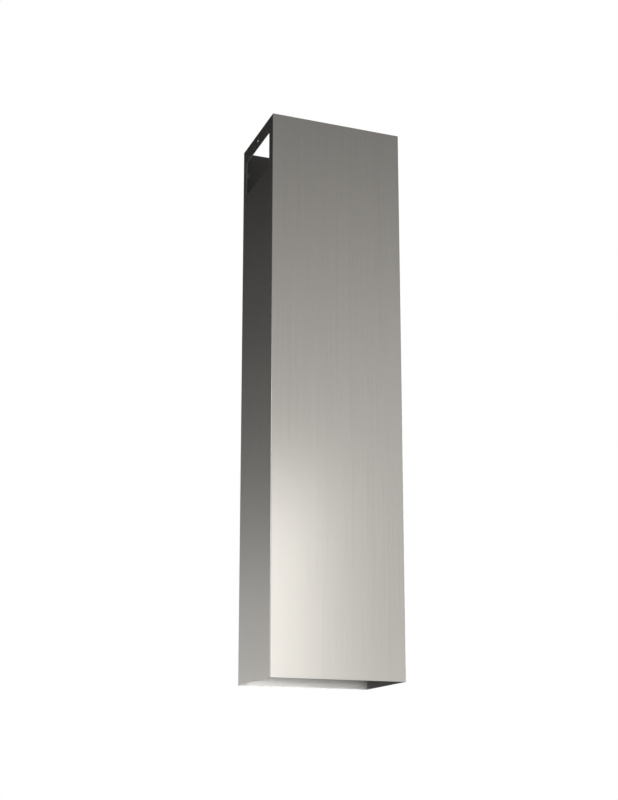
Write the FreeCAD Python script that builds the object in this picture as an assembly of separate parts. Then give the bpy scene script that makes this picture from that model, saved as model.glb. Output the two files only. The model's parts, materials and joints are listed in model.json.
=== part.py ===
import FreeCAD, Part
import math
import os

# Chimney section of a cooker hood. One stainless sheet is folded at its four corners into a closed
# rectangular sleeve that is open at both ends. The ends of the sheet meet at the back left corner,
# where a narrow flange of the left side lies inside the back wall and is spot welded to it.
# Frame: millimetres, origin in the middle of the lower end, X to the right, Y to the back, Z up.

# Sleeve, outside sizes
HEIGHT = 1000.0
WIDTH = 244.0
DEPTH = 167.0

# Sheet and folds
SHEET = 0.8
BEND_INSIDE_RADIUS = 1.0

# Air outlet near the top of each side
OUTLET_WIDTH = 127.0
OUTLET_HEIGHT = 66.0
OUTLET_BELOW_TOP = 28.0
OUTLET_CORNER_RADIUS = 2.0

# Fixing hole above each outlet, for a screw into the ceiling bracket
FIXING_HOLE_DIAMETER = 4.5
FIXING_HOLE_BELOW_TOP = 14.0

# Lap seam at the back left corner
SEAM_LAP = 13.0
SEAM_GAP = 0.1
SEAM_EDGE_SETBACK = 1.2
FLANGE_END_RELIEF = 4.0
FLANGE_END_ANGLE = 45.0

# Spot welds along the seam
WELD_DIAMETER = 5.0
WELD_MARK_DEPTH = 0.15
WELD_FROM_END = 45.0
WELD_LARGEST_PITCH = 120.0

# Places that follow from the sizes
BEND_OUTSIDE_RADIUS = BEND_INSIDE_RADIUS + SHEET
LEFT = -WIDTH / 2
RIGHT = WIDTH / 2
FRONT = -DEPTH / 2
BACK = DEPTH / 2
FLANGE_FACE = BACK - SHEET - SEAM_GAP
FLANGE_BEND_LINE = LEFT + BEND_OUTSIDE_RADIUS
FLANGE_EDGE = LEFT + SEAM_LAP
SEAM_CENTRE_X = (FLANGE_BEND_LINE + FLANGE_EDGE) / 2

X_AXIS = FreeCAD.Vector(1, 0, 0)
Y_AXIS = FreeCAD.Vector(0, 1, 0)
Z_AXIS = FreeCAD.Vector(0, 0, 1)


def bent_edges(corners, radius):
    """Edges of a line through the corners, with an arc of one radius at each corner between the ends."""
    edges = []
    start = corners[0]
    for before, corner, after in zip(corners, corners[1:], corners[2:]):
        towards_before = (before - corner).normalize()
        towards_after = (after - corner).normalize()
        bisector = (towards_before + towards_after).normalize()
        half_angle = towards_before.getAngle(bisector)
        arc_start = corner + towards_before * (radius / math.tan(half_angle))
        arc_middle = corner + bisector * (radius / math.sin(half_angle) - radius)
        arc_end = corner + towards_after * (radius / math.tan(half_angle))
        edges.append(Part.LineSegment(start, arc_start).toShape())
        edges.append(Part.Arc(arc_start, arc_middle, arc_end).toShape())
        start = arc_end
    edges.append(Part.LineSegment(start, corners[-1]).toShape())
    return edges


def sheet_face_corners(inset):
    """Corners in plan of one face of the sheet, from the edge of the flange round to that of the back."""
    return [
        FreeCAD.Vector(FLANGE_EDGE, FLANGE_FACE - inset, 0),
        FreeCAD.Vector(LEFT + inset, FLANGE_FACE - inset, 0),
        FreeCAD.Vector(LEFT + inset, FRONT + inset, 0),
        FreeCAD.Vector(RIGHT - inset, FRONT + inset, 0),
        FreeCAD.Vector(RIGHT - inset, BACK - inset, 0),
        FreeCAD.Vector(LEFT + SEAM_EDGE_SETBACK, BACK - inset, 0),
    ]


def folded_sheet():
    """The sheet folded round its four corners, before anything is cut in it."""
    outside = sheet_face_corners(0)
    inside = sheet_face_corners(SHEET)
    back_edge = Part.LineSegment(outside[-1], inside[-1]).toShape()
    flange_edge = Part.LineSegment(inside[0], outside[0]).toShape()
    outline = bent_edges(outside, BEND_OUTSIDE_RADIUS)
    outline.append(back_edge)
    outline.extend(reversed(bent_edges(inside, BEND_INSIDE_RADIUS)))
    outline.append(flange_edge)
    return Part.Face(Part.Wire(outline)).extrude(Z_AXIS * HEIGHT)


def flange_end_cut():
    """The slanted cut that keeps the lower end of the seam flange clear of the rim."""
    tool_face = FLANGE_FACE + SEAM_GAP / 2
    tool_edge = FLANGE_EDGE + SHEET
    rise = (tool_edge - FLANGE_BEND_LINE) * math.tan(math.radians(FLANGE_END_ANGLE))
    outline = [
        FreeCAD.Vector(FLANGE_BEND_LINE, tool_face, -SHEET),
        FreeCAD.Vector(tool_edge, tool_face, -SHEET),
        FreeCAD.Vector(tool_edge, tool_face, FLANGE_END_RELIEF + rise),
        FreeCAD.Vector(FLANGE_BEND_LINE, tool_face, FLANGE_END_RELIEF),
    ]
    profile = Part.makePolygon(outline + outline[:1])
    return Part.Face(profile).extrude(Y_AXIS * -(SEAM_GAP + 2 * SHEET))


def at_other_end(shape):
    """A copy of a cut at the other end of the sleeve."""
    return shape.mirror(Z_AXIS * (HEIGHT / 2), Z_AXIS)


def outlet_cut(side_x, outward):
    """The air outlet through one side wall, a rectangle with rounded corners."""
    start_x = side_x + outward * SHEET
    centre_z = HEIGHT - OUTLET_BELOW_TOP - OUTLET_HEIGHT / 2
    half_width = OUTLET_WIDTH / 2
    half_height = OUTLET_HEIGHT / 2
    outline = [
        (0, -half_height),
        (half_width, -half_height),
        (half_width, half_height),
        (-half_width, half_height),
        (-half_width, -half_height),
        (0, -half_height),
    ]
    corners = [FreeCAD.Vector(start_x, y, centre_z + z) for y, z in outline]
    profile = Part.Wire(bent_edges(corners, OUTLET_CORNER_RADIUS))
    return Part.Face(profile).extrude(X_AXIS * (-outward * 3 * SHEET))


def fixing_hole_cut(side_x, outward):
    """The round fixing hole through one side wall, above its outlet."""
    start = FreeCAD.Vector(side_x + outward * SHEET, 0, HEIGHT - FIXING_HOLE_BELOW_TOP)
    return Part.makeCylinder(FIXING_HOLE_DIAMETER / 2, 3 * SHEET, start, X_AXIS * -outward)


def weld_heights():
    """Heights of the spot welds, spread evenly along the seam."""
    span = HEIGHT - 2 * WELD_FROM_END
    steps = math.ceil(span / WELD_LARGEST_PITCH)
    return [WELD_FROM_END + span * step / steps for step in range(steps + 1)]


def weld_nugget(height):
    """The steel that joins the flange to the back wall at one spot weld."""
    start_y = FLANGE_FACE - SHEET / 2
    start = FreeCAD.Vector(SEAM_CENTRE_X, start_y, height)
    return Part.makeCylinder(WELD_DIAMETER / 2, BACK - SHEET / 2 - start_y, start, Y_AXIS)


def weld_mark_cut(height, face_y, outward):
    """The shallow round dish that a domed welding tip presses into one face of the seam."""
    tip_radius = ((WELD_DIAMETER / 2) ** 2 + WELD_MARK_DEPTH ** 2) / (2 * WELD_MARK_DEPTH)
    centre_y = face_y + outward * (tip_radius - WELD_MARK_DEPTH)
    centre = FreeCAD.Vector(SEAM_CENTRE_X, centre_y, height)
    cap_from = math.degrees(math.asin(1 - 2 * WELD_MARK_DEPTH / tip_radius))
    return Part.makeSphere(tip_radius, centre, Y_AXIS * -outward, cap_from, 90, 360)


def chimney_sleeve():
    """The whole sleeve: folded, closed along its seam by spot welds, and cut."""
    flange_inside = FLANGE_FACE - SHEET
    nuggets = [weld_nugget(z) for z in weld_heights()]

    cuts = [flange_end_cut(), at_other_end(flange_end_cut())]
    for side_x, outward in ((LEFT, -1), (RIGHT, 1)):
        cuts.append(outlet_cut(side_x, outward))
        cuts.append(fixing_hole_cut(side_x, outward))
    for z in weld_heights():
        cuts.append(weld_mark_cut(z, BACK, 1))
        cuts.append(weld_mark_cut(z, flange_inside, -1))

    sleeve = folded_sheet().fuse(nuggets).cut(cuts).removeSplitter()
    return sleeve.Solids[0]


os.makedirs("parts", exist_ok=True)
chimney_sleeve().exportStep("parts/chimney_sleeve.step")
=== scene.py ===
import json
import logging
import math
from dataclasses import dataclass
from enum import Enum
from typing import Dict, Iterable, List, Optional, Sequence, Tuple, Union

import bmesh
import bpy
from mathutils import Matrix, Quaternion, Vector

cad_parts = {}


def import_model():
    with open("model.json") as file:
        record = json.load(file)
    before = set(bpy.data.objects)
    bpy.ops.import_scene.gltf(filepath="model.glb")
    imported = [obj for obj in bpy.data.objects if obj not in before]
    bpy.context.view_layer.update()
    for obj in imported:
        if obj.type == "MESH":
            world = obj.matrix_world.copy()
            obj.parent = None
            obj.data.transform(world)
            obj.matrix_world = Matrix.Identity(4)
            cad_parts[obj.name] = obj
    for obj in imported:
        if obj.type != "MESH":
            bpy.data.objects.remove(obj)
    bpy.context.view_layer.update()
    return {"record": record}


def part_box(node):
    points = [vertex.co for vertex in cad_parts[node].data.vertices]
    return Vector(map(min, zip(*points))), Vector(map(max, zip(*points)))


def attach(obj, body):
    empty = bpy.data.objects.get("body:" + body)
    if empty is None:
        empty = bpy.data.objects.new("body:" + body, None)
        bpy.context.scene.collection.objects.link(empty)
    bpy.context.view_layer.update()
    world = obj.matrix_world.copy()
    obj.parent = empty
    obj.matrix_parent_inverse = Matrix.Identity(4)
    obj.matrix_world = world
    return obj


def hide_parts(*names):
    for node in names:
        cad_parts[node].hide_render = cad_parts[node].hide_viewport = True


# Chimney section of a cooker hood: one sheet of brushed stainless steel, folded at its four corners into
# a sleeve that is open at both ends, with a spot-welded lap seam at its back left corner.
# Metres, in the part's own frame: origin in the middle of the lower end, X right, Y to the back, Z up.

LOG = logging.getLogger("chimney_section")

MM = 0.001
NODE = "chimney_sleeve"

Colour = Tuple[float, float, float]
Point = Tuple[float, float, float]
Ramp = Tuple[Tuple[float, float], ...]
Socket = bpy.types.NodeSocket
Term = Union[Socket, float, Tuple[float, ...]]
EditMesh = bmesh.types.BMesh
Vert = bmesh.types.BMVert
Edge = bmesh.types.BMEdge
Face = bmesh.types.BMFace

WHITE: Colour = (1.0, 1.0, 1.0)
STAGE_RADIUS = 24.0


class Axis(Enum):
    """The axes of the frame, in the order of a point's coordinates."""

    X = 0
    Y = 1
    Z = 2


class Side(Enum):
    """The two side walls, by the words that the record's names have for them."""

    LEFT = "left"
    RIGHT = "right"


class Surface(Enum):
    """The kinds of surface on the sheet, in the order of its material slots."""

    OUTSIDE = 0
    INSIDE = 1
    CUT_EDGE = 2


def opaque(colour: Colour) -> Tuple[float, float, float, float]:
    """The colour with full alpha, as a colour socket takes it."""
    return (*colour, 1.0)


def add_object(name: str, bm: EditMesh) -> bpy.types.Object:
    """Makes an object of a finished mesh, and frees the mesh in work.

    Args:
        name: The name of the object and of its mesh.
        bm: The mesh in work.

    Returns:
        The object, linked to the scene.
    """
    mesh = bpy.data.meshes.new(name)
    bm.to_mesh(mesh)
    bm.free()
    piece = bpy.data.objects.new(name, mesh)
    bpy.context.scene.collection.objects.link(piece)
    return piece


@dataclass
class NodeSheet:
    """A node tree that is written down node by node.

    Attributes:
        tree: The tree of a material, a world or a node group.
    """

    tree: bpy.types.NodeTree

    def add(
        self, kind: str, values: Optional[Dict[str, object]] = None, **settings: object
    ) -> bpy.types.Node:
        """Adds one node.

        Args:
            kind: The node's type, without the ShaderNode that it starts with, or a NodeGroup type whole.
            values: Values of input sockets, by socket name.
            **settings: Values of the node's own properties.

        Returns:
            The new node.
        """
        full = kind if kind.startswith("NodeGroup") else "ShaderNode" + kind
        node = self.tree.nodes.new(full)
        for name, value in settings.items():
            setattr(node, name, value)
        for name, value in (values or {}).items():
            node.inputs[name].default_value = value
        return node

    def link(self, source: Socket, target: Socket) -> None:
        """Joins an output socket to an input socket."""
        self.tree.links.new(source, target)

    def feed(self, target: Socket, term: Term) -> None:
        """Gives an input socket what it needs.

        Args:
            target: The input socket.
            term: An output socket to link, or a plain value.
        """
        if isinstance(term, Socket):
            self.link(term, target)
        else:
            target.default_value = term

    def show(self, shader: Socket) -> None:
        """Joins a shader to the tree's output."""
        self.link(shader, next(n for n in self.tree.nodes if "Surface" in n.inputs).inputs["Surface"])

    def math(self, operation: str, *terms: Term) -> Socket:
        """Adds a Math node.

        Args:
            operation: The node's operation.
            *terms: Its inputs in order, each a socket or a number.

        Returns:
            The socket with the result.
        """
        node = self.add("Math", operation=operation)
        for socket, term in zip(node.inputs, terms):
            self.feed(socket, term)
        return node.outputs[0]

    def map_range(
        self,
        value: Socket,
        start: Term,
        end: Term,
        to: Tuple[float, float] = (0.0, 1.0),
        smooth: bool = False,
    ) -> Socket:
        """Adds a change from one range of values to another.

        Args:
            value: The socket with the value.
            start: Where the first range starts.
            end: Where the first range ends.
            to: The results at its start and at its end.
            smooth: Whether the result eases in and out.

        Returns:
            The socket with the result.
        """
        node = self.add("MapRange", interpolation_type="SMOOTHSTEP" if smooth else "LINEAR")
        names = ("Value", "From Min", "From Max", "To Min", "To Max")
        for name, term in zip(names, (value, start, end, *to)):
            self.feed(node.inputs[name], term)
        return node.outputs["Result"]

    def mix(self, share: Socket, first: Term, second: Term) -> Socket:
        """Adds a mix of two colours.

        Args:
            share: How much of the second colour there is.
            first: A colour with alpha, or a socket with one.
            second: A colour with alpha, or a socket with one.

        Returns:
            The socket with the mixed colour.
        """
        node = self.add("Mix", data_type="RGBA")
        self.link(share, node.inputs["Factor"])
        colour_inputs = (s for s in node.inputs if s.type == "RGBA")
        for socket, term in zip(colour_inputs, (first, second)):
            self.feed(socket, term)
        return next(s for s in node.outputs if s.type == "RGBA")

    def mix_shaders(self, share: Socket, first: Socket, second: Socket) -> Socket:
        """Adds a mix of two shaders.

        Args:
            share: How much of the second shader there is.
            first: The first shader.
            second: The second shader.

        Returns:
            The socket with the mixed shader.
        """
        node = self.add("MixShader")
        for socket, source in zip(node.inputs, (share, first, second)):
            self.link(source, socket)
        return node.outputs[0]

    def place(self) -> Dict[str, Socket]:
        """Adds the place on the object.

        Returns:
            The sockets with the Object coordinates, by the names of the axes.
        """
        split = self.add("SeparateXYZ")
        self.link(self.add("TexCoord").outputs["Object"], split.inputs[0])
        return {socket.name: socket for socket in split.outputs}

    def length(self, x: Socket, y: Socket) -> Socket:
        """Adds the length of a line on plan.

        Args:
            x: The socket with its reach along X.
            y: The socket with its reach along Y.

        Returns:
            The socket with the length.
        """
        squares = self.math("ADD", self.math("MULTIPLY", x, x), self.math("MULTIPLY", y, y))
        return self.math("SQRT", squares)

    def seen(self) -> Socket:
        """Adds a mask of what the camera sees, straight or by way of a shiny or clear surface.

        Returns:
            The socket with the mask, 1 for such rays and 0 for the others.
        """
        path = self.add("LightPath").outputs
        straight_or_mirrored = self.math("MAXIMUM", path["Is Camera Ray"], path["Is Glossy Ray"])
        return self.math("MAXIMUM", straight_or_mirrored, path["Is Transmission Ray"])


def new_material(name: str) -> Tuple[bpy.types.Material, NodeSheet]:
    """Starts a material with nodes.

    Args:
        name: The material's name.

    Returns:
        The material, and its node sheet with a Principled BSDF and the output.
    """
    material = bpy.data.materials.new(name)
    material.use_nodes = True
    return material, NodeSheet(material.node_tree)


class SheetEffects:
    """The node groups that the finishes of the sheet share."""

    GRAIN_INPUTS = {"Lines per metre": 900.0, "Length": 120.0}
    # How many times coarser than a line each layer of the grain is, and its share of the whole.
    GRAIN_LAYERS = ((1.0, 0.45), (4.0, 0.35), (18.0, 0.20))
    GRAIN_NOISE = {"Scale": 1.0, "Detail": 1.0, "Roughness": 0.5}
    CLOUD_INPUTS = {"Patches per metre": 6.0}
    CLOUD_NOISE = {"Detail": 3.0, "Roughness": 0.55, "Distortion": 0.4}
    WELD_INPUTS = {"Seam X": 0.0, "Seam Y": 0.0, "First": 0.0, "Pitch": 1.0, "Reach": 0.01}

    def __init__(self) -> None:
        """Builds each group once."""
        self.grain = self._grain_group()
        self.cloud = self._cloud_group()
        self.weld = self._weld_group()

    @staticmethod
    def _new_group(
        name: str, inputs: Dict[str, float], output: str
    ) -> Tuple[NodeSheet, Dict[str, Socket]]:
        """Starts a node group of plain numbers.

        Args:
            name: The group's name.
            inputs: Its input sockets with their defaults.
            output: The name of its one output socket.

        Returns:
            The group's node sheet, and its sockets by name, as the nodes in it link to them.
        """
        tree = bpy.data.node_groups.new(name, "ShaderNodeTree")
        for label, default in inputs.items():
            socket = tree.interface.new_socket(name=label, in_out="INPUT", socket_type="NodeSocketFloat")
            socket.default_value = default
        tree.interface.new_socket(name=output, in_out="OUTPUT", socket_type="NodeSocketFloat")
        sheet = NodeSheet(tree)
        sockets = {s.name: s for s in sheet.add("NodeGroupInput").outputs if s.name}
        sockets[output] = sheet.add("NodeGroupOutput").inputs[output]
        return sheet, sockets

    def _grain_group(self) -> bpy.types.NodeTree:
        """Builds the brushing along the height: broad streaks, lines and fine scratches, from 0 to 1.

        Returns:
            The node group.
        """
        sheet, socket = self._new_group("sheet_grain", self.GRAIN_INPUTS, "Grain")
        place = sheet.place()
        layers = []
        for coarseness, weight in self.GRAIN_LAYERS:
            across = sheet.math("DIVIDE", socket["Lines per metre"], coarseness)
            along = sheet.math("DIVIDE", across, socket["Length"])
            spot = sheet.add("CombineXYZ")
            for axis, scale in ((Axis.X, across), (Axis.Y, across), (Axis.Z, along)):
                sheet.link(sheet.math("MULTIPLY", place[axis.name], scale), spot.inputs[axis.name])
            noise = sheet.add("TexNoise", self.GRAIN_NOISE)
            sheet.link(spot.outputs[0], noise.inputs["Vector"])
            layers.append(sheet.math("MULTIPLY", noise.outputs["Fac"], weight))
        total = layers[0]
        for layer in layers[1:]:
            total = sheet.math("ADD", total, layer)
        sheet.link(total, socket["Grain"])
        return sheet.tree

    def _cloud_group(self) -> bpy.types.NodeTree:
        """Builds the broad soft patches that handling and wiping leave, from 0 to 1.

        Returns:
            The node group.
        """
        sheet, socket = self._new_group("sheet_cloud", self.CLOUD_INPUTS, "Cloud")
        noise = sheet.add("TexNoise", self.CLOUD_NOISE)
        sheet.link(sheet.add("TexCoord").outputs["Object"], noise.inputs["Vector"])
        sheet.link(socket["Patches per metre"], noise.inputs["Scale"])
        sheet.link(noise.outputs["Fac"], socket["Cloud"])
        return sheet.tree

    def _weld_group(self) -> bpy.types.NodeTree:
        """Builds the heat tint round each spot weld of the seam, 1 at a weld and 0 away from it.

        Returns:
            The node group.
        """
        sheet, socket = self._new_group("weld_tint", self.WELD_INPUTS, "Tint")
        place = sheet.place()
        above_first = sheet.math("SUBTRACT", place["Z"], socket["First"])
        pitches = sheet.math("DIVIDE", above_first, socket["Pitch"])
        past_nearest = sheet.math("SUBTRACT", pitches, sheet.math("ROUND", pitches))
        offset = sheet.add("CombineXYZ")
        sheet.link(sheet.math("SUBTRACT", place["X"], socket["Seam X"]), offset.inputs["X"])
        sheet.link(sheet.math("SUBTRACT", place["Y"], socket["Seam Y"]), offset.inputs["Y"])
        sheet.link(sheet.math("MULTIPLY", past_nearest, socket["Pitch"]), offset.inputs["Z"])
        away = sheet.add("VectorMath", operation="LENGTH")
        sheet.link(offset.outputs[0], away.inputs[0])
        tint = sheet.map_range(away.outputs["Value"], 0.0, socket["Reach"], to=(1.0, 0.0), smooth=True)
        sheet.link(tint, socket["Tint"])
        return sheet.tree


@dataclass(frozen=True)
class WeldRow:
    """The row of spot welds along the seam, in metres.

    Attributes:
        x: Distance of the row from the middle of the sleeve.
        y: Distance of the lapped sheets from the middle.
        heights: Height of each weld.
    """

    x: float
    y: float
    heights: Tuple[float, ...]

    @property
    def pitch(self) -> float:
        """Distance from one weld to the next."""
        return self.heights[1] - self.heights[0]


@dataclass(frozen=True)
class SteelFinish:
    """One finish of the stainless sheet.

    Attributes:
        name: The material's name.
        pale: Colour on the crests of the grain.
        deep: Colour in its hollows.
        roughness: Lowest and highest roughness.
        lines_per_metre: Scratches across a metre of sheet.
        line_length: How many times longer than wide a scratch is.
        relief: Height of the grain, in metres.
        tint: Colour of the steel next to a spot weld.
        tint_reach: How far the tint reaches from a weld, in metres.
    """

    name: str
    pale: Colour
    deep: Colour
    roughness: Tuple[float, float]
    lines_per_metre: float
    line_length: float
    relief: float
    tint: Colour = (0.45, 0.40, 0.34)
    tint_reach: float = 6 * MM

    # Means of the grain and the patches that have the lowest and the highest roughness.
    ROUGHNESS_SPAN = (0.3, 0.7)

    def material(self, effects: SheetEffects, welds: WeldRow) -> bpy.types.Material:
        """Builds the finish.

        Args:
            effects: The node groups that the finishes share.
            welds: Where the heat tint goes.

        Returns:
            The new material.
        """
        material, sheet = new_material(self.name)
        shader = sheet.tree.nodes["Principled BSDF"]
        shader.inputs["Metallic"].default_value = 1.0

        lines = {"Lines per metre": self.lines_per_metre, "Length": self.line_length}
        spots = {
            "Seam X": welds.x,
            "Seam Y": welds.y,
            "First": welds.heights[0],
            "Pitch": welds.pitch,
            "Reach": self.tint_reach,
        }
        grain = sheet.add("Group", lines, node_tree=effects.grain).outputs["Grain"]
        cloud = sheet.add("Group", node_tree=effects.cloud).outputs["Cloud"]
        heat = sheet.add("Group", spots, node_tree=effects.weld).outputs["Tint"]

        steel = sheet.mix(grain, opaque(self.deep), opaque(self.pale))
        sheet.link(sheet.mix(heat, steel, opaque(self.tint)), shader.inputs["Base Color"])

        mean = sheet.math("DIVIDE", sheet.math("ADD", grain, cloud), 2.0)
        roughness = sheet.map_range(mean, *self.ROUGHNESS_SPAN, to=self.roughness)
        sheet.link(roughness, shader.inputs["Roughness"])

        bump = sheet.add("Bump", {"Strength": 1.0, "Distance": self.relief})
        sheet.link(grain, bump.inputs["Height"])
        sheet.link(bump.outputs[0], shader.inputs["Normal"])
        return material


FINISHES: Dict[Surface, SteelFinish] = {
    Surface.OUTSIDE: SteelFinish(
        name="brushed_stainless",
        pale=(0.658, 0.632, 0.589),
        deep=(0.557, 0.535, 0.498),
        roughness=(0.238, 0.268),
        lines_per_metre=900.0,
        line_length=120.0,
        relief=0.006 * MM,
    ),
    # The inside's colour is far darker than steel: painted shade, standing in for the dim inside of the
    # sleeve.
    Surface.INSIDE: SteelFinish(
        name="mill_stainless",
        pale=(0.185, 0.181, 0.174),
        deep=(0.155, 0.152, 0.146),
        roughness=(0.66, 0.74),
        lines_per_metre=400.0,
        line_length=30.0,
        relief=0.002 * MM,
    ),
    Surface.CUT_EDGE: SteelFinish(
        name="cut_edge_stainless",
        pale=(0.560, 0.550, 0.535),
        deep=(0.420, 0.412, 0.400),
        roughness=(0.38, 0.52),
        lines_per_metre=2500.0,
        line_length=3.0,
        relief=0.010 * MM,
    ),
}


@dataclass
class FoldedSleeve:
    """The sheet folded into a closed sleeve, with its outlets, fixing holes and lap seam.

    Attributes:
        low: Lowest corner of the sleeve, in metres as all its sizes are.
        high: Highest corner.
        sheet: Thickness of the sheet.
        hole_radius: Radius of a fixing hole.
        hole_height: Height of the fixing holes.
        outlet_low: Front lower corner of the air outlets, as (y, z).
        outlet_high: Back upper corner of the air outlets, as (y, z).
        bend_inside: Inside radius of the folds.
        outlet_corner: Radius of the corners of an outlet.
        seam_lap: Width of the lapped flange, from the outside of the left wall.
        seam_gap: Gap between the flange and the back wall.
        seam_setback: Distance of the free edge of the back wall from the left wall's outside.
        flange_relief: Height of the notch at each end of the flange.
        flange_angle: Slant of each end of the flange, in degrees.
        weld_radius: Radius of a spot weld's dent.
        weld_depth: Depth of a dent at its middle.
        weld_from_end: Height of the first weld, and distance of the last one from the top.
        weld_largest_pitch: Largest distance between two welds.
        burr: Width of the rounding on every cut edge.
        bend_segments: Facets of a fold and of an outlet's corner.
        hole_segments: Facets of a fixing hole.
        weld_segments: Facets round a weld's dent.
        weld_rings: Rings of facets within a dent, round its middle facet.
        burr_segments: Facets across the rounding of a cut edge.
    """

    low: Vector
    high: Vector
    sheet: float
    hole_radius: float
    hole_height: float
    outlet_low: Tuple[float, float]
    outlet_high: Tuple[float, float]
    bend_inside: float = 1.0 * MM
    outlet_corner: float = 2.0 * MM
    seam_lap: float = 13.0 * MM
    seam_gap: float = 0.1 * MM
    seam_setback: float = 1.2 * MM
    flange_relief: float = 4.0 * MM
    flange_angle: float = 45.0
    weld_radius: float = 2.5 * MM
    weld_depth: float = 0.15 * MM
    weld_from_end: float = 45.0 * MM
    weld_largest_pitch: float = 120.0 * MM
    burr: float = 0.1 * MM
    bend_segments: int = 8
    hole_segments: int = 40
    weld_segments: int = 28
    weld_rings: int = 2
    burr_segments: int = 2

    # The record's boxes of the outlets stay this far inside the outlets' edges.
    OPENING_CLEARANCE = 1.0 * MM
    # A step count this little above a whole number is rounded down, not up.
    STEP_TOLERANCE = 1e-6
    CUT_TOLERANCE = 1e-7
    SHARP_ANGLE = math.radians(60)
    QUARTER_TURN = math.pi / 2
    FLATNESS_WEIGHT = 100

    @classmethod
    def from_frame(cls, record: Dict[str, object]) -> "FoldedSleeve":
        """Reads the sleeve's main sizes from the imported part.

        Args:
            record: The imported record, whose mounts and openings place the holes and outlets.

        Returns:
            The sleeve, not built yet.
        """
        low, high = (Vector(corner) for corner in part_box(NODE))
        side = Side.LEFT.value
        hole = next(m for m in record["mounts"] if m["name"] == f"fixing_hole_{side}")
        outlet = next(o for o in record["physics"]["openings"] if o["name"] == f"{side}_air_outlet")
        box_low, box_high = outlet["box_m"]
        return cls(
            low=low,
            high=high,
            sheet=hole["dims"]["length_mm"] * MM,
            hole_radius=hole["dims"]["r_mm"] * MM,
            hole_height=hole["pos_m"][Axis.Z.value],
            outlet_low=tuple(v - cls.OPENING_CLEARANCE for v in box_low[Axis.Y.value:]),
            outlet_high=tuple(v + cls.OPENING_CLEARANCE for v in box_high[Axis.Y.value:]),
        )

    @property
    def bend_outside(self) -> float:
        """Outside radius of the folds."""
        return self.bend_inside + self.sheet

    @property
    def flange_y(self) -> float:
        """The face of the flange that lies against the back wall."""
        return self.high.y - self.sheet - self.seam_gap

    @property
    def flange_bend_x(self) -> float:
        """Where the flange's fold ends and its flat begins."""
        return self.low.x + self.bend_outside

    @property
    def flange_edge_x(self) -> float:
        """The free edge of the flange."""
        return self.low.x + self.seam_lap

    @property
    def plane_reach(self) -> float:
        """How near a plane a point counts as on it, a tenth of the smallest gap between two planes."""
        return self.seam_gap / 10

    @property
    def welds(self) -> WeldRow:
        """The spot welds, spread evenly along the seam.

        Returns:
            The row of welds.
        """
        first = self.low.z + self.weld_from_end
        span = self.high.z - self.weld_from_end - first
        steps = math.ceil(span / self.weld_largest_pitch - self.STEP_TOLERANCE)
        return WeldRow(
            x=(self.flange_bend_x + self.flange_edge_x) / 2,
            y=(self.high.y + self.flange_y) / 2,
            heights=tuple(first + span * step / steps for step in range(steps + 1)),
        )

    def build(self, effects: SheetEffects) -> bpy.types.Object:
        """Models the sleeve and dresses it.

        Args:
            effects: The node groups that the finishes share.

        Returns:
            The finished piece.
        """
        bm = bmesh.new()
        self._fold(bm)
        self._cut_outlets(bm)
        self._mitre_flange(bm)
        self._mark_welds(bm)
        self._thicken(bm)
        self._press_welds(bm)
        self._ease_cut_edges(bm)
        for face in bm.faces:
            face.smooth = True

        piece = add_object("folded_sleeve", bm)
        flats = piece.modifiers.new("keep_walls_flat", "WEIGHTED_NORMAL")
        flats.keep_sharp = True
        flats.weight = self.FLATNESS_WEIGHT
        for surface in Surface:
            piece.data.materials.append(FINISHES[surface].material(effects, self.welds))
        return piece

    def _fold(self, bm: EditMesh) -> None:
        """Makes the outside of the folded sheet, with round folds and no thickness.

        Args:
            bm: The empty mesh.
        """
        corners = (
            (self.flange_edge_x, self.flange_y),
            (self.low.x, self.flange_y),
            (self.low.x, self.low.y),
            (self.high.x, self.low.y),
            (self.high.x, self.high.y),
            (self.low.x + self.seam_setback, self.high.y),
        )
        line = self._draw(bm, [(x, y, self.low.z) for x, y in corners])
        self._round_corners(bm, line[1:-1], self.bend_outside)
        raised = bmesh.ops.extrude_edge_only(bm, edges=bm.edges[:])["geom"]
        top = [item for item in raised if isinstance(item, Vert)]
        bmesh.ops.translate(bm, verts=top, vec=(0, 0, self.high.z - self.low.z))
        bmesh.ops.recalc_face_normals(bm, faces=bm.faces[:])

    @staticmethod
    def _draw(bm: EditMesh, points: Sequence[Point], closed: bool = False) -> List[Vert]:
        """Draws a line of edges.

        Args:
            bm: The mesh.
            points: The points of the line.
            closed: Whether the last point is joined to the first one.

        Returns:
            The vertices at the points.
        """
        verts = [bm.verts.new(point) for point in points]
        following = verts[1:] + verts[:1] if closed else verts[1:]
        for start, end in zip(verts, following):
            bm.edges.new((start, end))
        return verts

    def _round_corners(self, bm: EditMesh, corners: Sequence[Vert], radius: float) -> None:
        """Rounds corners of a line of edges.

        Args:
            bm: The mesh.
            corners: The vertices at the corners.
            radius: The radius to give them.
        """
        bmesh.ops.bevel(
            bm, geom=corners, offset=radius, offset_type="OFFSET", affect="VERTICES",
            segments=self.bend_segments, profile=0.5, material=-1,
        )

    def _flat_faces(self, bm: EditMesh, axis: Axis, at: float) -> List[Face]:
        """Finds the flat faces on one plane.

        Args:
            bm: The mesh.
            axis: The axis across the plane.
            at: The plane's place on that axis.

        Returns:
            The faces that lie in the plane.
        """
        reach = self.plane_reach
        return [f for f in bm.faces if all(abs(v.co[axis.value] - at) < reach for v in f.verts)]

    def _bisect(
        self, bm: EditMesh, faces: Sequence[Face], point: Sequence[float], normal: Sequence[float]
    ) -> None:
        """Cuts faces along a plane and keeps both sides.

        Args:
            bm: The mesh.
            faces: The faces to cut.
            point: A point of the plane.
            normal: The plane's normal.
        """
        edges = {e for f in faces for e in f.edges}
        verts = {v for f in faces for v in f.verts}
        bmesh.ops.bisect_plane(
            bm, geom=[*faces, *edges, *verts], dist=self.CUT_TOLERANCE, plane_co=point, plane_no=normal
        )

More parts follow.
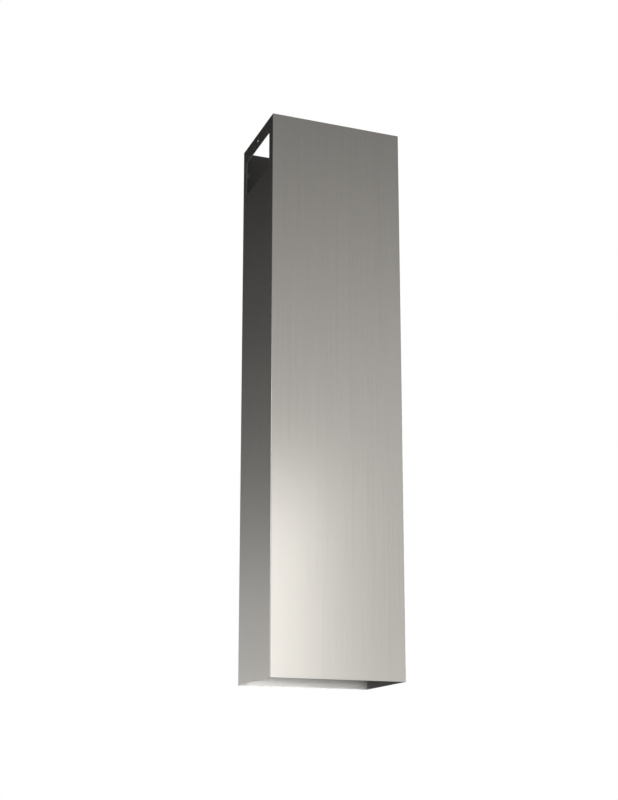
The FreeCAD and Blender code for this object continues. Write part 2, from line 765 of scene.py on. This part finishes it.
    @staticmethod
    def _fill_round(bm: EditMesh, face: Face, loops: Iterable[Edge]) -> None:
        """Fills a flat face again, up to the loops of edges that stand in it.

        Args:
            bm: The mesh.
            face: The face that the loops stand in.
            loops: The edges of the closed loops.
        """
        normal = face.normal.copy()
        rim = list(face.edges)
        bmesh.ops.delete(bm, geom=[face], context="FACES_ONLY")
        bmesh.ops.triangle_fill(
            bm, use_beauty=True, use_dissolve=False, edges=[*rim, *loops], normal=normal
        )

    def _wall_x(self, side: Side) -> float:
        """The outside face of a side wall."""
        return self.low.x if side is Side.LEFT else self.high.x

    def _cut_outlets(self, bm: EditMesh) -> None:
        """Cuts the air outlet and the fixing hole in each side wall.

        Args:
            bm: The outside of the sheet.
        """
        (front, bottom), (back, top) = self.outlet_low, self.outlet_high
        # The sheet is cut across as far below the outlets as their top is below the rim, so that only
        # the upper ends of the side walls are filled again.
        zone = bottom - (self.high.z - top)
        self._bisect(bm, bm.faces[:], (0, 0, zone), (0, 0, 1))
        for side in Side:
            x = self._wall_x(side)
            wall = max(self._flat_faces(bm, Axis.X, x), key=lambda f: f.calc_center_median().z)
            known = set(bm.edges)
            outline = ((x, front, bottom), (x, back, bottom), (x, back, top), (x, front, top))
            self._round_corners(bm, self._draw(bm, outline, closed=True), self.outlet_corner)
            upright = Matrix.Rotation(self.QUARTER_TURN, 4, Axis.Y.name)
            bmesh.ops.create_circle(
                bm, cap_ends=False, segments=self.hole_segments, radius=self.hole_radius,
                matrix=Matrix.Translation((x, 0, self.hole_height)) @ upright,
            )
            self._fill_round(bm, wall, [e for e in bm.edges if e not in known])

    def _mitre_flange(self, bm: EditMesh) -> None:
        """Slants both ends of the flange, so that it stays clear of the rims.

        Args:
            bm: The outside of the sheet.
        """
        slant = math.tan(math.radians(self.flange_angle))
        for rim_z, inward in ((self.low.z, 1), (self.high.z, -1)):
            notch_z = rim_z + inward * self.flange_relief
            normal = Vector((-slant, 0, inward)).normalized()
            corner = Vector((self.flange_bend_x, self.flange_y, notch_z))
            self._bisect(bm, self._flat_faces(bm, Axis.Y, self.flange_y), corner, normal)
            ends = [
                f for f in self._flat_faces(bm, Axis.Y, self.flange_y)
                if (f.calc_center_median() - corner).dot(normal) < 0
            ]
            bmesh.ops.delete(bm, geom=ends, context="FACES")

    def _mark_welds(self, bm: EditMesh) -> None:
        """Marks out a round dent for each spot weld, on the back wall and on the flange.

        Args:
            bm: The outside of the sheet.
        """
        back_wall = self._flat_faces(bm, Axis.Y, self.high.y)
        self._bisect(bm, back_wall, (self.flange_edge_x, 0, 0), (1, 0, 0))
        for plane in (self.high.y, self.flange_y):
            for height in self.welds.heights:
                self._mark_weld(bm, plane, height)

    def _mark_weld(self, bm: EditMesh, plane: float, height: float) -> None:
        """Marks out the dent of one spot weld, as a disc of rings.

        Args:
            bm: The outside of the sheet.
            plane: The place on Y of the wall that the dent is in.
            height: The weld's height.
        """
        # The seam is filled again only in a cell round the dent, twice as tall as the dent.
        half_cell = 2 * self.weld_radius
        for edge in (height - half_cell, height + half_cell):
            self._bisect(bm, self._lapped_faces(bm, plane), (0, 0, edge), (0, 0, 1))
        lapped = self._lapped_faces(bm, plane)
        holder = min(lapped, key=lambda f: abs(f.calc_center_median().z - height))
        known = set(bm.edges)
        upright = Matrix.Rotation(self.QUARTER_TURN, 4, Axis.X.name)
        bmesh.ops.create_circle(
            bm, cap_ends=True, segments=self.weld_segments, radius=self.weld_radius,
            matrix=Matrix.Translation((self.welds.x, plane, height)) @ upright,
        )
        rim = [e for e in bm.edges if e not in known]
        disc = rim[0].link_faces[0]
        self._fill_round(bm, holder, rim)
        ring = self.weld_radius / (self.weld_rings + 1)
        for _ in range(self.weld_rings):
            bmesh.ops.inset_individual(bm, faces=[disc], thickness=ring)

    def _lapped_faces(self, bm: EditMesh, plane: float) -> List[Face]:
        """Finds the flat faces of the seam on one plane.

        Args:
            bm: The mesh.
            plane: The plane's place on Y.

        Returns:
            The faces on the lapped strip of that plane.
        """
        faces = self._flat_faces(bm, Axis.Y, plane)
        return [f for f in faces if f.calc_center_median().x < self.flange_edge_x]

    def _thicken(self, bm: EditMesh) -> None:
        """Gives the sheet its thickness, inwards, and says which finish each face has.

        Args:
            bm: The outside of the sheet.
        """
        bmesh.ops.recalc_face_normals(bm, faces=bm.faces[:])
        outside = set(bm.faces)
        made = bmesh.ops.solidify(bm, geom=bm.faces[:], thickness=self.sheet)["geom"]
        inside = {item for item in made if isinstance(item, Face)}
        for face in bm.faces:
            if face in outside:
                face.material_index = Surface.OUTSIDE.value
            elif face in inside:
                face.material_index = Surface.INSIDE.value
            else:
                face.material_index = Surface.CUT_EDGE.value

    def _press_welds(self, bm: EditMesh) -> None:
        """Presses each dent into the two faces of the seam that show.

        Args:
            bm: The sheet with its thickness.
        """
        welds = self.welds
        reach = self.plane_reach
        for plane, inward in ((self.high.y, -1), (self.flange_y - self.sheet, 1)):
            for vert in (v for v in bm.verts if abs(v.co.y - plane) < reach):
                for height in welds.heights:
                    out = math.hypot(vert.co.x - welds.x, vert.co.z - height) / self.weld_radius
                    if out < 1:
                        vert.co.y += inward * self.weld_depth * (1 - out ** 2)

    def _ease_cut_edges(self, bm: EditMesh) -> None:
        """Rounds the sharp edges that cutting leaves.

        Args:
            bm: The sheet with its thickness.
        """
        sharp = [e for e in bm.edges if e.is_manifold and e.calc_face_angle() > self.SHARP_ANGLE]
        bmesh.ops.bevel(
            bm, geom=sharp, offset=self.burr, offset_type="OFFSET", affect="EDGES",
            segments=self.burr_segments, profile=0.5, material=-1, clamp_overlap=False,
        )


@dataclass(frozen=True)
class FloorFinish:
    """The pale floor, which turns white far from the sleeve where the camera looks at it.

    Attributes:
        colour: Its colour near the sleeve.
        roughness: Its roughness.
        middle: Middle of its grey part on plan, as (x, y) in metres, set off to the front left: painted
            shade on that side of the floor and painted light on the back right, which the steel also
            mirrors.
        fade: Distances from that middle where it starts to turn white, and where it is white.
    """

    colour: Colour = (0.68, 0.68, 0.67)
    roughness: float = 0.9
    # Set off to the front left, so the floor turns white sooner on the back right: painted light there
    # and painted shade on the front left, also seen in the steel's reflections.
    middle: Tuple[float, float] = (-1.0, -1.0)
    fade: Tuple[float, float] = (1.0, 9.0)

    def material(self) -> bpy.types.Material:
        """Builds the finish.

        Returns:
            The new material.
        """
        material, sheet = new_material("pale_floor")
        shader = sheet.tree.nodes["Principled BSDF"]
        shader.inputs["Base Color"].default_value = opaque(self.colour)
        shader.inputs["Roughness"].default_value = self.roughness
        white = sheet.add("Emission", {"Color": opaque(WHITE), "Strength": 1.0})
        place = sheet.place()
        x = sheet.math("SUBTRACT", place["X"], self.middle[0])
        y = sheet.math("SUBTRACT", place["Y"], self.middle[1])
        faded = sheet.map_range(sheet.length(x, y), *self.fade, smooth=True)
        share = sheet.math("MULTIPLY", faded, sheet.seen())
        sheet.show(sheet.mix_shaders(share, shader.outputs[0], white.outputs[0]))
        return material


@dataclass(frozen=True)
class CeilingFinish:
    """The glow of the ceiling, dark above the sleeve and paler further out, most of all to the front.

    Attributes:
        front: Distances to the front of the sleeve, in metres, with the brightness there.
        back: Distances to its back, with the brightness there.
    """

    front: Ramp = (
        (0.3, 0.12), (1.2, 0.25), (2.0, 0.385), (3.0, 0.54), (5.0, 0.715), (8.0, 0.72), (24.0, 0.47),
    )
    back: Ramp = (
        (0.3, 0.0), (1.5, 0.01), (3.3, 0.075), (5.3, 0.17), (9.5, 0.43), (12.0, 0.56), (24.0, 0.51),
    )

    def material(self) -> bpy.types.Material:
        """Builds the finish.

        Returns:
            The new material.
        """
        material, sheet = new_material("graded_ceiling")
        sheet.tree.nodes.remove(sheet.tree.nodes["Principled BSDF"])
        place = sheet.place()
        distance = sheet.length(place["X"], place["Y"])
        out = sheet.math("SQRT", sheet.math("DIVIDE", distance, STAGE_RADIUS))
        to_front = sheet.math("DIVIDE", sheet.math("MULTIPLY", place["Y"], -1.0), distance)
        frontness = sheet.map_range(to_front, -1.0, 1.0)
        at_back = self._ramp(sheet, out, self.back)
        at_front = self._ramp(sheet, out, self.front)
        level = sheet.mix(frontness, at_back, at_front)
        glow = sheet.add("Emission", {"Strength": 1.0})
        sheet.link(level, glow.inputs["Color"])
        sheet.show(glow.outputs[0])
        return material

    @staticmethod
    def _ramp(sheet: NodeSheet, out: Socket, stops: Ramp) -> Socket:
        """Adds a grey ramp over the distance from the sleeve.

        Args:
            sheet: The material's node sheet.
            out: The square root of the distance, as a share of the ceiling's radius.
            stops: Distances, in metres, and the brightness there.

        Returns:
            The socket with the grey.
        """
        ramp = sheet.add("ValToRGB")
        elements = ramp.color_ramp.elements
        while len(elements) < len(stops):
            elements.new(1.0)
        for element, (distance, level) in zip(elements, stops):
            element.position = math.sqrt(distance / STAGE_RADIUS)
            element.color = opaque((level, level, level))
        sheet.link(out, ramp.inputs["Fac"])
        return ramp.outputs["Color"]


@dataclass(frozen=True)
class SoftLamp:
    """A soft area lamp that points at the sleeve.

    Attributes:
        name: The lamp's name.
        azimuth: Way to the lamp round the sleeve, in degrees from the front towards the right.
        height: Height of the lamp, in metres.
        distance: Distance of the lamp on plan, in metres.
        size: Width and height of its face, in metres.
        power: Its power, in watts.
        spread: Angle of its beam, in degrees.
        aim: The point that it faces, in metres, where that isn't the middle of the sleeve.
        roll: Turn of its face about its beam, in degrees.
    """

    name: str
    azimuth: float
    height: float
    distance: float
    size: Tuple[float, float]
    power: float
    spread: float = 180.0
    aim: Optional[Point] = None
    roll: float = 0.0

    def build(self, middle: Vector) -> bpy.types.Object:
        """Makes the lamp.

        Args:
            middle: The middle of the sleeve.

        Returns:
            The lamp's object.
        """
        data = bpy.data.lights.new(self.name, "AREA")
        data.shape = "RECTANGLE"
        data.size, data.size_y = self.size
        data.energy = self.power
        data.spread = math.radians(self.spread)
        lamp = bpy.data.objects.new(self.name, data)
        lamp.visible_camera = False
        turn = math.radians(self.azimuth)
        lamp.location = (
            middle.x + self.distance * math.sin(turn),
            middle.y - self.distance * math.cos(turn),
            self.height,
        )
        facing = Vector(self.aim) if self.aim else middle
        level = (facing - lamp.location).to_track_quat("-Z", "Y")
        lamp.rotation_mode = "QUATERNION"
        lamp.rotation_quaternion = level @ Quaternion((0, 0, 1), math.radians(self.roll))
        bpy.context.scene.collection.objects.link(lamp)
        return lamp


@dataclass
class Studio:
    """A plain studio: a pale floor below the hanging sleeve, a dark graded ceiling and soft lamps.

    Attributes:
        floor_z: Height of the floor, in metres.
        floor: Finish of the floor.
        ceiling_z: Height of the ceiling, in metres.
        ceiling: Finish of the ceiling.
        ambient: Brightness of the surroundings for all but mirrored light.
    """

    floor_z: float = -1.1
    floor: FloorFinish = FloorFinish()
    ceiling_z: float = 1.7
    ceiling: CeilingFinish = CeilingFinish()
    ambient: float = 0.8

    DISC_SEGMENTS = 96

    # The low lamp is close under the open end, and lights only the inside of the back wall at its rim.
    LAMPS = (
        SoftLamp(name="key_lamp", azimuth=13.0, height=0.36, distance=1.8, size=(0.3, 0.8), power=1.1),
        SoftLamp(
            name="low_lamp", azimuth=175.7, height=-0.026, distance=0.053, size=(0.234, 0.010),
            power=0.205, spread=78.0, aim=(0.004, 0.083, -0.003), roll=-3.0,
        ),
        SoftLamp(name="fill_lamp", azimuth=-75.0, height=1.1, distance=3.6, size=(1.4, 1.0), power=14.0),
        SoftLamp(name="back_lamp", azimuth=150.0, height=1.2, distance=3.6, size=(1.8, 1.2), power=10.0),
        SoftLamp(name="right_lamp", azimuth=105.0, height=0.6, distance=3.2, size=(0.8, 1.4), power=14.0),
    )

    def build(self, middle: Vector) -> None:
        """Sets up the floor, ceiling, lamps and surroundings.

        Args:
            middle: The middle of the sleeve.
        """
        scene = bpy.context.scene
        scene.view_settings.view_transform = "Standard"
        self._disc("studio_floor", self.floor_z, self.floor.material())
        ceiling = self._disc("studio_ceiling", self.ceiling_z, self.ceiling.material())
        ceiling.visible_camera = False
        ceiling.visible_shadow = False
        ceiling.visible_diffuse = False
        for lamp in self.LAMPS:
            lamp.build(middle)
        scene.world = self._surroundings()

    def _disc(self, name: str, height: float, material: bpy.types.Material) -> bpy.types.Object:
        """Makes a flat round stage.

        Args:
            name: The object's name.
            height: Its height.
            material: Its material.

        Returns:
            The object, marked as stage.
        """
        bm = bmesh.new()
        bmesh.ops.create_circle(
            bm, cap_ends=True, segments=self.DISC_SEGMENTS, radius=STAGE_RADIUS,
            matrix=Matrix.Translation((0, 0, height)),
        )
        disc = add_object(name, bm)
        disc.data.materials.append(material)
        return disc

    def _surroundings(self) -> bpy.types.World:
        """Builds surroundings that are white where the camera sees them, and a soft even light elsewhere.

        Returns:
            The new world.
        """
        world = bpy.data.worlds.new("white_surroundings")
        world.use_nodes = True
        # Sampled as a lamp, the world is read without a ray's kind, and the steel can't mirror its white.
        world.cycles.sampling_method = "NONE"
        sheet = NodeSheet(world.node_tree)
        soft = sheet.tree.nodes["Background"]
        soft.inputs["Color"].default_value = opaque(WHITE)
        soft.inputs["Strength"].default_value = self.ambient
        white = sheet.add("Background", {"Color": opaque(WHITE), "Strength": 1.0})
        sheet.show(sheet.mix_shaders(sheet.seen(), soft.outputs[0], white.outputs[0]))
        return world


@dataclass
class PhotoCamera:
    """The camera at the photograph's viewing angle, below the sleeve and in front of its left corner.

    Attributes:
        place: The camera's place, in metres.
        yaw: Turn to the right of straight ahead, in degrees.
        pitch: Tilt upwards, in degrees.
        focal_pixels: Focal length, in pixels of the photograph.
        shift: Upward shift of the view, as a share of the picture's height.
        picture_height: Height of the photograph, its longer side, in pixels.
    """

    place: Point = (-0.8647, -2.2108, -0.2077)
    yaw: float = 20.873
    pitch: float = 12.731
    focal_pixels: float = 1383.1
    shift: float = 0.12
    picture_height: int = 800

    # Turn about X, in degrees, from a camera that looks down to one that looks straight ahead.
    LEVEL = 90.0

    def build(self) -> bpy.types.Object:
        """Makes the camera and gives it to the scene.

        Returns:
            The camera's object.
        """
        data = bpy.data.cameras.new("photo_camera")
        data.lens = self.focal_pixels / self.picture_height * data.sensor_width
        data.shift_y = self.shift
        camera = bpy.data.objects.new("photo_camera", data)
        camera.location = self.place
        camera.rotation_euler = (math.radians(self.LEVEL + self.pitch), 0, math.radians(-self.yaw))
        bpy.context.scene.collection.objects.link(camera)
        bpy.context.scene.camera = camera
        return camera


def main() -> None:
    """Builds the sleeve, its studio and the camera."""
    logging.basicConfig(level=logging.INFO, format="%(name)s: %(message)s")
    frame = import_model()

    sleeve = FoldedSleeve.from_frame(frame["record"])
    piece = sleeve.build(SheetEffects())
    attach(piece, "root")
    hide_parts(NODE)
    LOG.info("%s: %d faces", piece.name, len(piece.data.polygons))

    Studio().build((sleeve.low + sleeve.high) / 2)
    PhotoCamera().build()


if __name__ == "__main__":
    main()
